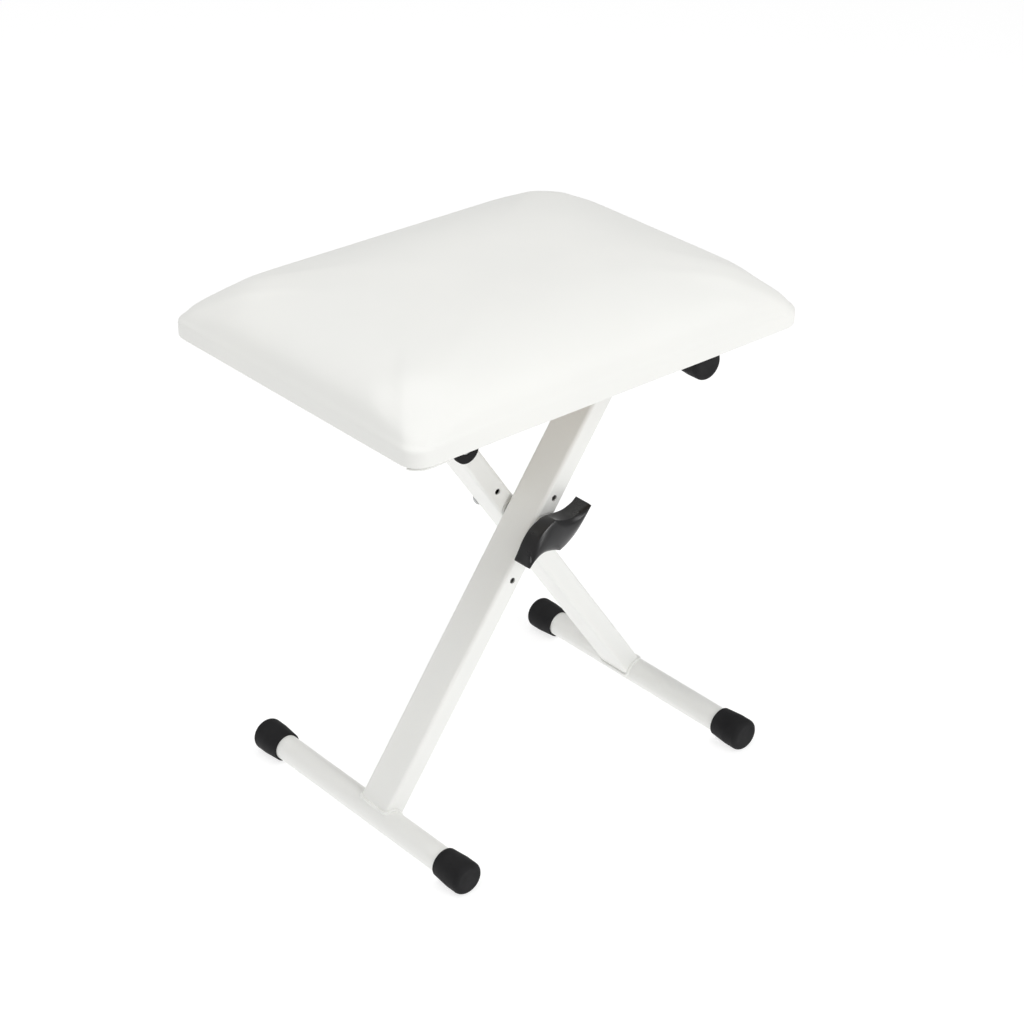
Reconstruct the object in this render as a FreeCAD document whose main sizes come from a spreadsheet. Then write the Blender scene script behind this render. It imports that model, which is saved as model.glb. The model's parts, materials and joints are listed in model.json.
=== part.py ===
"""Folding keyboard bench: a padded seat on two crossed legs that turn on one clamped bolt.

X runs along the long side of the seat, Y along its short side (the knob is at -Y), Z is up.
The origin is on the floor, in the middle of the bench's overall footprint.
Leg B is the rear leg, hinged under the left of the seat. Leg A is the front leg, whose top
tube carries the right of the seat and slides under it when the bench is folded.
"""
import FreeCAD, Part
import math
import os

import Sketcher

doc = FreeCAD.newDocument("folding_bench")
Vector = FreeCAD.Vector
Rotation = FreeCAD.Rotation
Placement = FreeCAD.Placement

# Driving dimensions, in millimetres and degrees
SIZES = {
    "seat_length": 400, "seat_width": 300, "seat_corner": 19, "cover_thickness": 0.8,
    "cover_hem": 24, "cover_roll": 2.5, "board_thickness": 12,
    "band_height": 14, "shoulder_rise": 40, "shoulder_fullness": 0.8,
    "plateau_width": 76, "plateau_corner": 36,
    "leg_angle": 54.8, "lower_leg_length": 275.8, "upper_leg_length": 177.9,
    "frame_shift": 27.5, "lowest_seat_height": 400, "highest_seat_height": 520,
    "leg_width": 19, "leg_depth": 35, "leg_wall": 1.5, "leg_corner": 3, "leg_gap": 2.6,
    "hole_radius": 2.7, "hole_upper": 25, "hole_lower": 51,
    "tube_radius": 11.35, "tube_wall": 1.5, "foot_tube_half": 132.5, "top_tube_half": 113,
    "cap_radius": 14.5, "cap_mouth": 13.1, "cap_flare": 16, "cap_length": 30.5, "cap_end": 4,
    "cap_round": 4.5, "pad_depth": 0.5, "face_clearance": 0.3,
    "rail_width": 20, "rail_height": 11.9, "rail_wall": 1.5, "rail_inner_end": 12,
    "rail_outer_end": 5, "rail_screw_inset": 20,
    "hinge_tube_half": 60, "bush_flange": 1.5, "bush_length": 16, "flange_radius": 11,
    "hinge_pin_radius": 4, "running_fit": 0.05,
    "ear_thickness": 2.5, "ear_length": 42, "ear_foot": 26, "ear_radius": 10,
    "ear_bend": 2.5,
    "screw_spacing": 26, "screw_radius": 2, "screw_head": 4.2,
    "screw_head_height": 2.2, "screw_depth": 9,
    "hinge_head": 6.5, "hinge_head_height": 5.3, "hinge_nut_height": 7, "hinge_tip": 2.5,
    "pivot_radius": 5, "pivot_head": 11, "pivot_head_height": 4.6, "sleeve_radius": 8,
    "spacer_radius": 9.2, "washer_radius": 9.4, "washer_thickness": 2,
    "stop_distance": 90, "stop_radius": 12.3, "stop_height": 5,
    "stop_screw_radius": 2.4, "stop_screw_head": 4.5, "stop_screw_sink": 2.4,
    "knob_depth": 19, "knob_hub": 9.4, "knob_hub_height": 3.4, "knob_tip_x": 33.2,
    "knob_tip_z": 18.2, "knob_belly_x": 1.2, "knob_belly_z": 14.8, "knob_back_radius": 63,
    "knob_hollow_radius": 27, "knob_crown_radius": 46,
    "insert_radius": 8.5, "insert_length": 14, "bolt_run_out": 1.5,
}

# Lengths and places worked out from the driving dimensions
DERIVED = {
    "foot_z": "Sizes.cap_radius - Sizes.pad_depth",
    "foot_run": "Sizes.lower_leg_length * cos(Sizes.leg_angle)",
    "top_run": "Sizes.upper_leg_length * cos(Sizes.leg_angle)",
    "seat_x": "(Sizes.seat_length / 2 - Sizes.frame_shift - Places.foot_run - Sizes.cap_radius) / 2",
    "pivot_x": "Places.seat_x + Sizes.frame_shift",
    "pivot_z": "Places.foot_z + Sizes.lower_leg_length * sin(Sizes.leg_angle)",
    "top_z": "Places.pivot_z + Sizes.upper_leg_length * sin(Sizes.leg_angle)",
    "rail_z": "Places.top_z + Sizes.cap_radius + Sizes.face_clearance",
    "seat_z": "Places.rail_z + Sizes.rail_height",
    "hinge_x": "Places.pivot_x - Places.top_run",
    "board_z": "Places.seat_z + Sizes.cover_thickness",
    "rail_x": "Places.pivot_x + Sizes.rail_inner_end",
    "rail_y": "Sizes.top_tube_half + Sizes.cap_end"
              " - (Sizes.cap_length - Sizes.cap_flare + Sizes.cap_round) / 2",
    "rail_length": "Places.seat_x + Sizes.seat_length / 2 - Sizes.rail_outer_end - Places.rail_x",
    "ear_drop": "Places.board_z - Places.top_z",
    "ear_y": "Sizes.hinge_tube_half + Sizes.bush_flange + Sizes.face_clearance",
    "ear_outer_y": "Places.ear_y + Sizes.ear_thickness",
    "leg_length": "Sizes.lower_leg_length + Sizes.upper_leg_length",
    "leg_front_y": "Sizes.leg_gap / 2 + Sizes.leg_depth",
    "washer_y": "Places.leg_front_y + Sizes.face_clearance",
    "knob_y": "Places.washer_y + Sizes.washer_thickness",
    "bolt_tip_y": "Places.knob_y + Sizes.insert_length + Sizes.bolt_run_out",
    "lean": "90 - Sizes.leg_angle",
}

sheet = doc.addObject("Spreadsheet::Sheet", "Sizes")
for row, (alias, value) in enumerate(SIZES.items(), start=1):
    sheet.set("A%d" % row, alias)
    sheet.set("B%d" % row, str(value))
    sheet.setAlias("B%d" % row, alias)
doc.recompute()

places = doc.addObject("App::FeaturePython", "Places")
for name in DERIVED:
    places.addProperty("App::PropertyFloat", name, "Derived")
for name, formula in DERIVED.items():
    places.setExpression(name, formula)
doc.recompute()

ALONG_X = Rotation(Vector(0, 1, 0), 90)
ALONG_Y = Rotation(Vector(1, 0, 0), -90)
EXTRA = 1.0  # how far a cutting shape runs past what it cuts
SHOULDER_STEPS = 8
SUBPARTS = []


def size(alias):
    return float(getattr(sheet, alias))


def bind(obj, formulas):
    for prop, formula in formulas.items():
        obj.setExpression(prop, formula)


def put(obj, x="0", y="0", z="0"):
    """Bind the object's position to formulas."""
    bind(obj, {"Placement.Base.x": x, "Placement.Base.y": y, "Placement.Base.z": z})
    return obj


def cylinder(name, radius, length, x="0", y="0", z="0", turn=ALONG_Y):
    """A cylinder that starts at the given point and runs along +Y unless turned."""
    obj = doc.addObject("Part::Cylinder", name)
    obj.Placement = Placement(Vector(), turn)
    bind(obj, {"Radius": radius, "Height": length})
    return put(obj, x, y, z)


def box(name, length, width, height, x="0", y="0", z="0"):
    obj = doc.addObject("Part::Box", name)
    bind(obj, {"Length": length, "Width": width, "Height": height})
    return put(obj, x, y, z)


def cut(name, base, *tools):
    tool = tools[0]
    if len(tools) > 1:
        tool = fuse(name + "_tools", *tools)
    obj = doc.addObject("Part::Cut", name)
    obj.Base = base
    obj.Tool = tool
    return obj


def fuse(name, *parts):
    obj = doc.addObject("Part::MultiFuse", name)
    obj.Shapes = list(parts)
    obj.Refine = True
    return obj


def common(name, base, tool):
    obj = doc.addObject("Part::Common", name)
    obj.Base = base
    obj.Tool = tool
    return obj


def feature(name, shape):
    obj = doc.addObject("Part::Feature", name)
    obj.Shape = shape
    return obj


def keep(obj, label):
    """Mark an object as a finished sub-part."""
    obj.Label = label
    SUBPARTS.append(obj)
    return obj


def tube(label, half_length, x, z, radius="Sizes.tube_radius"):
    """A round tube along Y, centred on the bench."""
    outer = cylinder(label + "_outer", radius, "2 * " + half_length, y="-" + half_length)
    bore = cylinder(label + "_bore", radius + " - Sizes.tube_wall",
                    "2 * (%s + %g)" % (half_length, EXTRA), y="-%s - %g" % (half_length, EXTRA))
    return keep(put(cut(label + "_solid", outer, bore), x, "0", z), label)


def origin_plane(body, role):
    return next(plane for plane in body.Origin.OriginFeatures if plane.Role == role)


def new_sketch(body, name, role):
    sketch = body.newObject("Sketcher::SketchObject", name)
    sketch.AttachmentSupport = [(origin_plane(body, role), "")]
    sketch.MapMode = "FlatFace"
    return sketch


def pin_point(sketch, geometry, end, formula_x, formula_y, x, y):
    """Hold one point of a sketch at a distance from the sketch's origin."""
    for kind, formula, value in (("DistanceX", formula_x, x), ("DistanceY", formula_y, y)):
        index = sketch.addConstraint(Sketcher.Constraint(kind, -1, 1, geometry, end, value))
        sketch.setExpression("Constraints[%d]" % index, formula)


def join_ends(sketch, count):
    for index in range(count):
        sketch.addConstraint(
            Sketcher.Constraint("Coincident", index, 2, (index + 1) % count, 1))


# The seat

def section(inset, height, corner):
    """A rounded rectangle, level at the given height, drawn in from the seat's outline."""
    half_x = size("seat_length") / 2 - inset
    half_y = size("seat_width") / 2 - inset
    corner = min(corner, 0.95 * min(half_x, half_y))
    bend = corner * (1 - math.sqrt(0.5))
    edges = []
    for sx, sy in ((1, 1), (-1, 1), (-1, -1), (1, -1)):
        ends = [Vector(sx * half_x, sy * (half_y - corner), height),
                Vector(sx * (half_x - corner), sy * half_y, height)]
        if sx * sy < 0:
            ends.reverse()
        middle = Vector(sx * (half_x - bend), sy * (half_y - bend), height)
        if edges:
            edges.append(Part.makeLine(edges[-1].Vertexes[-1].Point, ends[0]))
        edges.append(Part.Arc(ends[0], middle, ends[1]).toShape())
    edges.append(Part.makeLine(edges[-1].Vertexes[-1].Point, edges[0].Vertexes[0].Point))
    return Part.Wire(edges)


def cushion(skin):
    """The seat's whole form, taken in by a skin: an upright band, round shoulders and a crown."""
    corner = size("seat_corner")
    band_top = size("band_height")
    wall = Part.Face(section(skin, skin, corner - skin)).extrude(Vector(0, 0, band_top - skin))
    lowest = [edge for edge in wall.Edges if edge.BoundBox.ZMax < skin + 0.01]
    wall = wall.makeFillet(size("cover_roll") - skin, lowest)
    run = (size("seat_width") - size("plateau_width")) / 2 - skin
    rise = size("shoulder_rise") - skin
    grow = size("plateau_corner") - corner + skin
    sections = []
    for step in range(SHOULDER_STEPS + 1):
        angle = math.radians(90 * step / SHOULDER_STEPS)
        inward = 1 - math.cos(angle) ** size("shoulder_fullness")
        upward = math.sin(angle) ** size("shoulder_fullness")
        sections.append(section(skin + run * inward, band_top + rise * upward,
                                corner - skin + grow * inward))
    return wall.fuse(Part.makeLoft(sections, True, True)).removeSplitter()


outer_form = feature("outer_form", cushion(0.0))
inner_form = feature("inner_form", cushion(size("cover_thickness")))
hem_window = feature("hem_window", Part.Face(section(size("cover_hem"), -EXTRA, size("seat_corner")))
                     .extrude(Vector(0, 0, 2 * EXTRA + size("cover_thickness"))))
keep(put(cut("cover_solid", outer_form, inner_form, hem_window),
         "Places.seat_x", "0", "Places.seat_z"), "seat_cover")

slab = box("board_slab", "Sizes.seat_length", "Sizes.seat_width", "Sizes.board_thickness",
           "-Sizes.seat_length / 2", "-Sizes.seat_width / 2", "Sizes.cover_thickness")
keep(put(cut("foam_solid", inner_form, slab), "Places.seat_x", "0", "Places.seat_z"), "seat_foam")

screw_spots = []
for side in (-1, 1):
    for end in (-1, 1):
        screw_spots.append((
            "Places.hinge_x + %d * Sizes.screw_spacing / 2" % end,
            "%d * (Places.ear_outer_y + (Sizes.ear_foot - Sizes.ear_thickness) / 2)" % side))

rail_spots = []
for side in (-1, 1):
    rail_spots.append(("Places.rail_x + Sizes.rail_screw_inset", "%d * Places.rail_y" % side))
    rail_spots.append(("Places.rail_x + Places.rail_length - Sizes.rail_screw_inset - Sizes.cover_hem",
                       "%d * Places.rail_y" % side))

UP = Rotation()
pilots = [cylinder("pilot_%d" % index, "Sizes.screw_radius", "Sizes.screw_depth + %g" % EXTRA,
                   x + " - Places.seat_x", y, "Sizes.cover_thickness - %g" % EXTRA, UP)
          for index, (x, y) in enumerate(screw_spots + rail_spots)]
keep(put(cut("board_solid", common("board_blank", inner_form, slab), *pilots),
         "Places.seat_x", "0", "Places.seat_z"), "seat_board")

# The hinge under the seat: two bent ears, one long bolt, a nut and four wood screws


def hinge_ear(label, side):
    """A bent steel ear: its foot is screwed under the board and its tab holds the bolt."""
    foot_y = "Places.ear_y" if side > 0 else "-Places.ear_y - Sizes.ear_foot"
    tab_y = "Places.ear_y" if side > 0 else "-Places.ear_outer_y"
    foot = box(label + "_foot", "Sizes.ear_length", "Sizes.ear_foot", "Sizes.ear_thickness",
               "Places.hinge_x - Sizes.ear_length / 2", foot_y,
               "Places.board_z - Sizes.ear_thickness")
    tab = box(label + "_tab", "2 * Sizes.ear_radius", "Sizes.ear_thickness", "Places.ear_drop",
              "Places.hinge_x - Sizes.ear_radius", tab_y, "Places.top_z")
    nose = cylinder(label + "_nose", "Sizes.ear_radius", "Sizes.ear_thickness",
                    "Places.hinge_x", tab_y, "Places.top_z")
    bend_y = "Places.ear_outer_y" if side > 0 else "-Places.ear_outer_y - Sizes.ear_bend"
    bend_z = "Places.board_z - Sizes.ear_thickness - Sizes.ear_bend"
    corner = box(label + "_corner", "2 * Sizes.ear_radius", "Sizes.ear_bend", "Sizes.ear_bend",
                 "Places.hinge_x - Sizes.ear_radius", bend_y, bend_z)
    hollow = cylinder(label + "_hollow", "Sizes.ear_bend", "2 * Sizes.ear_radius",
                      "Places.hinge_x - Sizes.ear_radius",
                      "%d * (Places.ear_outer_y + Sizes.ear_bend)" % side, bend_z, ALONG_X)
    blank = fuse(label + "_blank", foot, tab, nose, cut(label + "_bend", corner, hollow))
    eye = cylinder(label + "_eye", "Sizes.hinge_pin_radius + Sizes.running_fit",
                   "Sizes.ear_thickness + %g" % (2 * EXTRA), "Places.hinge_x",
                   tab_y + " - %g" % EXTRA, "Places.top_z")
    holes = [cylinder("%s_hole_%d" % (label, index), "Sizes.screw_radius + Sizes.running_fit",
                      "Sizes.ear_thickness + %g" % (2 * EXTRA), x, y,
                      "Places.board_z - Sizes.ear_thickness - %g" % EXTRA, UP)
             for index, (x, y) in enumerate(screw_spots[2:] if side > 0 else screw_spots[:2])]
    return keep(cut(label + "_solid", blank, eye, *holes), label)


hinge_ear("hinge_ear_front", -1)
hinge_ear("hinge_ear_rear", 1)


def wood_screws(label, spots, seat_z):
    """Pan-headed screws that hold something whose underside is at seat_z to the board."""
    screws = []
    for index, (x, y) in enumerate(spots):
        shank = cylinder("%s_shank_%d" % (label, index), "Sizes.screw_radius",
                         "Places.board_z + Sizes.screw_depth - (%s)" % seat_z, x, y, seat_z, UP)
        head = cylinder("%s_head_%d" % (label, index), "Sizes.screw_head",
                        "Sizes.screw_head_height", x, y,
                        seat_z + " - Sizes.screw_head_height", UP)
        screws.append(fuse("%s_%d" % (label, index), shank, head))
    group = doc.addObject("Part::Compound", label + "_group")
    group.Links = screws
    return keep(group, label)


wood_screws("ear_screws", screw_spots, "Places.board_z - Sizes.ear_thickness")

# The slide rails: steel channels under the board that the top tube's caps bear on


def slide_rail(label, side):
    """A channel with its web down and its lips up, and access holes under its screws."""
    y = "%d * Places.rail_y - Sizes.rail_width / 2" % side
    bar = box(label + "_bar", "Places.rail_length", "Sizes.rail_width", "Sizes.rail_height",
              "Places.rail_x", y, "Places.rail_z")
    trough = box(label + "_trough", "Places.rail_length + %g" % (2 * EXTRA),
                 "Sizes.rail_width - 2 * Sizes.rail_wall", "Sizes.rail_height",
                 "Places.rail_x - %g" % EXTRA, y + " + Sizes.rail_wall",
                 "Places.rail_z + Sizes.rail_wall")
    spots = rail_spots[2:] if side > 0 else rail_spots[:2]
    bosses = [cylinder("%s_boss_%d" % (label, index), "Sizes.screw_head + Sizes.rail_wall",
                       "Sizes.rail_height - Sizes.rail_wall", x, spot_y,
                       "Places.rail_z + Sizes.rail_wall", UP)
              for index, (x, spot_y) in enumerate(spots)]
    access = [cylinder("%s_access_%d" % (label, index), "Sizes.screw_head + Sizes.running_fit",
                       "Sizes.rail_height - Sizes.rail_wall", x, spot_y, "Places.rail_z", UP)
              for index, (x, spot_y) in enumerate(spots)]
    holes = [cylinder("%s_hole_%d" % (label, index), "Sizes.screw_radius + Sizes.running_fit",
                      "Sizes.rail_height + %g" % EXTRA, x, spot_y, "Places.rail_z", UP)
             for index, (x, spot_y) in enumerate(spots)]
    blank = fuse(label + "_blank", cut(label + "_channel", bar, trough), *bosses)
    return keep(cut(label + "_solid", blank, *(access + holes)), label)


slide_rail("slide_rail_front", -1)
slide_rail("slide_rail_rear", 1)
wood_screws("rail_screws", rail_spots, "Places.seat_z - Sizes.rail_wall")


def hexagon(name, radius, height, x, y, z):
    """A six-sided head or nut along +Y; the radius is half its width across the flats."""
    obj = doc.addObject("Part::Prism", name)
    obj.Polygon = 6
    obj.Placement = Placement(Vector(), ALONG_Y)
    bind(obj, {"Circumradius": radius + " / cos(30)", "Height": height})
    return put(obj, x, y, z)


hinge_head = hexagon("hinge_head", "Sizes.hinge_head", "Sizes.hinge_head_height", "Places.hinge_x",
                     "-Places.ear_outer_y - Sizes.hinge_head_height", "Places.top_z")
hinge_shank = cylinder("hinge_shank", "Sizes.hinge_pin_radius",
                       "2 * Places.ear_outer_y + Sizes.hinge_nut_height + Sizes.hinge_tip",
                       "Places.hinge_x", "-Places.ear_outer_y", "Places.top_z")
keep(fuse("hinge_bolt_solid", hinge_head, hinge_shank), "hinge_bolt")
nut_blank = hexagon("nut_blank", "Sizes.hinge_head", "Sizes.hinge_nut_height", "Places.hinge_x",
                    "Places.ear_outer_y", "Places.top_z")
nut_bore = cylinder("nut_bore", "Sizes.hinge_pin_radius",
                    "Sizes.hinge_nut_height + %g" % (2 * EXTRA), "Places.hinge_x",
                    "Places.ear_outer_y - %g" % EXTRA, "Places.top_z")
keep(cut("nut_solid", nut_blank, nut_bore), "hinge_nut")

# The legs


def rounded_bar(name, inner_y, inset):
    """An upright bar the size of a leg, with rounded corners, taken in all round by an inset."""
    start = "(%s + %s)" % (inner_y, inset)
    radius = "(Sizes.leg_corner - %s)" % inset
    half = "(Sizes.leg_width / 2 - %s)" % inset
    depth = "(Sizes.leg_depth - 2 * %s)" % inset
    deep = box(name + "_deep", "2 * (%s - %s)" % (half, radius), depth, "Places.leg_length",
               "-(%s - %s)" % (half, radius), start)
    wide = box(name + "_wide", "2 * " + half, "%s - 2 * %s" % (depth, radius),
               "Places.leg_length", "-" + half, "%s + %s" % (start, radius))
    corners = [cylinder("%s_corner_%d_%d" % (name, side, place), radius, "Places.leg_length",
                        "%d * (%s - %s)" % (side, half, radius),
                        "%s + %s + %d * (%s - 2 * %s)" % (start, radius, place, depth, radius),
                        turn=UP)
               for side in (-1, 1) for place in (0, 1)]
    return fuse(name, deep, wide, *corners)


def leg(label, inner_y, turn, x, hole_places):
    """A rectangular tube coped onto a round tube at each end and bored for the pivot sleeve.

    It is built upright, with its foot tube's axis at the origin, and then leaned over.
    """
    outer = rounded_bar(label + "_outer", inner_y, "0")
    hollow = rounded_bar(label + "_hollow", inner_y, "Sizes.leg_wall")
    through = "Sizes.leg_depth + %g" % (2 * EXTRA)
    start = inner_y + " - %g" % EXTRA
    cope_foot = cylinder(label + "_cope_foot", "Sizes.tube_radius", through, "0", start, "0")
    cope_top = cylinder(label + "_cope_top", "Sizes.tube_radius", through, "0", start,
                        "Places.leg_length")
    bore = cylinder(label + "_bore", "Sizes.sleeve_radius", through, "0", start,
                    "Sizes.lower_leg_length")
    holes = [cylinder("%s_hole_%d" % (label, index), "Sizes.hole_radius",
                      "Sizes.leg_wall + %g" % (1.5 * EXTRA), "0", start,
                      "Sizes.lower_leg_length + " + place)
             for index, place in enumerate(hole_places)]
    solid = cut(label + "_solid", outer, hollow, cope_foot, cope_top, bore, *holes)
    solid.Placement = Placement(Vector(), turn)
    solid.setExpression("Placement.Rotation.Angle", "Places.lean")
    return keep(put(solid, x, "0", "Places.foot_z"), label)


LEAN_RIGHT = Rotation(Vector(0, 1, 0), 90 - SIZES["leg_angle"])
LEAN_LEFT = Rotation(Vector(0, -1, 0), 90 - SIZES["leg_angle"])
leg("leg_a_tube", "-Places.leg_front_y", LEAN_RIGHT, "Places.pivot_x - Places.foot_run",
    ["Sizes.hole_upper", "-Sizes.hole_lower"])
leg("leg_b_tube", "Sizes.leg_gap / 2", LEAN_LEFT, "Places.pivot_x + Places.foot_run",
    ["Sizes.hole_upper", "Sizes.stop_distance"])

tube("leg_a_foot_tube", "Sizes.foot_tube_half", "Places.pivot_x - Places.foot_run",
     "Places.foot_z")
tube("leg_b_foot_tube", "Sizes.foot_tube_half", "Places.pivot_x + Places.foot_run",
     "Places.foot_z")
tube("leg_a_top_tube", "Sizes.top_tube_half", "Places.pivot_x + Places.top_run", "Places.top_z")
tube("hinge_tube", "Sizes.hinge_tube_half", "Places.hinge_x", "Places.top_z")


def rubber_cap(label, side, half_length, x, z, flat):
    """A rubber cap pushed over a tube's end: flared mouth, full belly and a rounded end."""
    body = doc.addObject("PartDesign::Body", label + "_body")
    sketch = new_sketch(body, label + "_sketch", "XY_Plane")
    # Corners run from the bore's blind end out to the mouth, up the outside and over the
    # rounded end: radius across, distance from the mouth up.
    corners = [
        ("0", "Sizes.cap_length - Sizes.cap_end"),
        ("Sizes.tube_radius", "Sizes.cap_length - Sizes.cap_end"),
        ("Sizes.tube_radius", "0"),
        ("Sizes.cap_mouth", "0"),
        ("Sizes.cap_radius", "Sizes.cap_flare"),
        ("Sizes.cap_radius", "Sizes.cap_length - Sizes.cap_round"),
        ("Sizes.cap_radius - Sizes.cap_round", "Sizes.cap_length"),
        ("0", "Sizes.cap_length"),
    ]
    radius, length, round_ = size("cap_radius"), size("cap_length"), size("cap_round")
    bore, blind = size("tube_radius"), length - size("cap_end")
    spots = [(0, blind), (bore, blind), (bore, 0), (size("cap_mouth"), 0),
             (radius, size("cap_flare")), (radius, length - round_), (radius - round_, length),
             (0, length)]
    points = [Vector(across, up, 0) for across, up in spots]
    half_turn = round_ * (1 - math.sqrt(0.5))
    middle = Vector(radius - half_turn, length - half_turn, 0)
    arc = 5
    for index, first in enumerate(points):
        second = points[(index + 1) % len(points)]
        curve = Part.Arc(first, middle, second) if index == arc else Part.LineSegment(first, second)
        sketch.addGeometry(curve, False)
    join_ends(sketch, len(points))
    for index, ((formula_x, formula_y), spot) in enumerate(zip(corners, spots)):
        pin_point(sketch, index, 1, formula_x, formula_y, *spot)
    tight = sketch.addConstraint(Sketcher.Constraint("Radius", arc, round_))
    sketch.setExpression("Constraints[%d]" % tight, "Sizes.cap_round")
    turned = body.newObject("PartDesign::Revolution", label + "_turned")
    turned.Profile = sketch
    turned.ReferenceAxis = (sketch, ["V_Axis"])
    turned.Angle = 360
    solid = body
    if side < 0:
        body.Placement = Placement(Vector(), Rotation(Vector(0, 0, 1), 180))
    if flat:
        pad = box(label + "_pad", "4 * Sizes.cap_radius", "4 * Sizes.cap_length",
                  "Sizes.cap_radius", "-2 * Sizes.cap_radius", "-2 * Sizes.cap_length",
                  "-2 * Sizes.cap_radius + Sizes.pad_depth")
        solid = cut(label + "_solid", body, pad)
    mouth_y = "%s + Sizes.cap_end - Sizes.cap_length" % half_length
    y = mouth_y if side > 0 else "-(%s)" % mouth_y
    return keep(put(solid, x, y, z), label)


for leg_name, x in (("leg_a", "Places.pivot_x - Places.foot_run"),
                    ("leg_b", "Places.pivot_x + Places.foot_run")):
    for end_name, side in (("front", -1), ("rear", 1)):
        rubber_cap("%s_foot_cap_%s" % (leg_name, end_name), side, "Sizes.foot_tube_half", x,
                   "Places.foot_z", True)
for end_name, side in (("front", -1), ("rear", 1)):
    rubber_cap("top_cap_" + end_name, side, "Sizes.top_tube_half",
               "Places.pivot_x + Places.top_run", "Places.top_z", False)


def hinge_bush(label, side):
    """A plastic bush pushed into the hinge tube, with a flange against the ear."""
    inside_y = "Sizes.hinge_tube_half - Sizes.bush_length" if side > 0 else "-Sizes.hinge_tube_half"
    flange_y = "Sizes.hinge_tube_half" if side > 0 else "-Sizes.hinge_tube_half - Sizes.bush_flange"
    plug = cylinder(label + "_plug", "Sizes.tube_radius - Sizes.tube_wall", "Sizes.bush_length",
                    "Places.hinge_x", inside_y, "Places.top_z")
    flange = cylinder(label + "_flange", "Sizes.flange_radius", "Sizes.bush_flange",
                      "Places.hinge_x", flange_y, "Places.top_z")
    bore = cylinder(label + "_bore", "Sizes.hinge_pin_radius + Sizes.running_fit",
                    "2 * Sizes.hinge_tube_half + %g" % (10 * EXTRA), "Places.hinge_x",
                    "-Sizes.hinge_tube_half - %g" % (5 * EXTRA), "Places.top_z")
    return keep(cut(label + "_solid", fuse(label + "_blank", plug, flange), bore), label)


hinge_bush("hinge_bush_front", -1)
hinge_bush("hinge_bush_rear", 1)

# The pivot: a carriage bolt through both legs, with a sleeve in each and a spacer between


def ring(label, outer, bore, length, y):
    """A washer or sleeve on the pivot bolt's line."""
    blank = cylinder(label + "_blank", outer, length, "Places.pivot_x", y, "Places.pivot_z")
    hole = cylinder(label + "_hole", bore, "%s + %g" % (length, 2 * EXTRA), "Places.pivot_x",
                    "%s - %g" % (y, EXTRA), "Places.pivot_z")
    return keep(cut(label + "_solid", blank, hole), label)


PIVOT_BORE = "Sizes.pivot_radius + Sizes.running_fit"
ring("leg_a_sleeve", "Sizes.sleeve_radius", PIVOT_BORE, "Sizes.leg_depth", "-Places.leg_front_y")
ring("leg_b_sleeve", "Sizes.sleeve_radius", PIVOT_BORE, "Sizes.leg_depth", "Sizes.leg_gap / 2")
ring("pivot_spacer", "Sizes.spacer_radius", PIVOT_BORE, "(Sizes.leg_gap - Sizes.face_clearance)",
     "Sizes.face_clearance - Sizes.leg_gap / 2")
ring("clamp_washer", "Sizes.washer_radius", PIVOT_BORE, "Sizes.washer_thickness",
     "-Places.knob_y")

dome = doc.addObject("Part::Sphere", "pivot_dome")
bind(dome, {"Radius": "(Sizes.pivot_head ^ 2 + Sizes.pivot_head_height ^ 2)"
                      " / (2 * Sizes.pivot_head_height)"})
put(dome, "Places.pivot_x", "Places.leg_front_y + Sizes.pivot_head_height"
    " - (Sizes.pivot_head ^ 2 + Sizes.pivot_head_height ^ 2) / (2 * Sizes.pivot_head_height)",
    "Places.pivot_z")
head_room = cylinder("pivot_head_room", "2 * Sizes.pivot_head", "Sizes.pivot_head_height",
                     "Places.pivot_x", "Places.leg_front_y", "Places.pivot_z")
shank = cylinder("pivot_shank", "Sizes.pivot_radius", "Places.bolt_tip_y + Places.leg_front_y",
                 "Places.pivot_x", "-Places.bolt_tip_y", "Places.pivot_z")
keep(fuse("pivot_bolt_solid", common("pivot_head", dome, head_room), shank), "pivot_bolt")

# The rubber stop on leg B that leg A's lower part meets when the bench is folded flat


def on_leg_b(obj):
    """Carry something built upright, like leg B itself, over to leg B's lean."""
    obj.Placement = Placement(Vector(), LEAN_LEFT)
    obj.setExpression("Placement.Rotation.Angle", "Places.lean")
    return put(obj, "Places.pivot_x + Places.foot_run", "0", "Places.foot_z")


STOP_Z = "Sizes.lower_leg_length + Sizes.stop_distance"
stop_blank = cylinder("stop_blank", "Sizes.stop_radius", "Sizes.stop_height", "0",
                      "Sizes.leg_gap / 2 - Sizes.stop_height", STOP_Z)
stop_bore = cylinder("stop_bore", "Sizes.stop_screw_radius",
                     "Sizes.stop_height + %g" % (2 * EXTRA), "0",
                     "Sizes.leg_gap / 2 - Sizes.stop_height - %g" % EXTRA, STOP_Z)
stop_sink = cylinder("stop_sink", "Sizes.stop_screw_head", "Sizes.stop_screw_sink + %g" % EXTRA,
                     "0", "Sizes.leg_gap / 2 - Sizes.stop_height - %g" % EXTRA, STOP_Z)
keep(on_leg_b(cut("stop_solid", stop_blank, stop_bore, stop_sink)), "stop_bumper")
stop_shank = cylinder("stop_shank", "Sizes.stop_screw_radius",
                      "Sizes.stop_height - Sizes.stop_screw_sink + Sizes.leg_wall", "0",
                      "Sizes.leg_gap / 2 - Sizes.stop_height + Sizes.stop_screw_sink", STOP_Z)
stop_head = cylinder("stop_head", "Sizes.stop_screw_head", "Sizes.stop_screw_sink / 2", "0",
                     "Sizes.leg_gap / 2 - Sizes.stop_height + Sizes.stop_screw_sink / 2", STOP_Z)
keep(on_leg_b(fuse("stop_screw_solid", stop_shank, stop_head)), "stop_screw")

# The S-shaped knob


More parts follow.
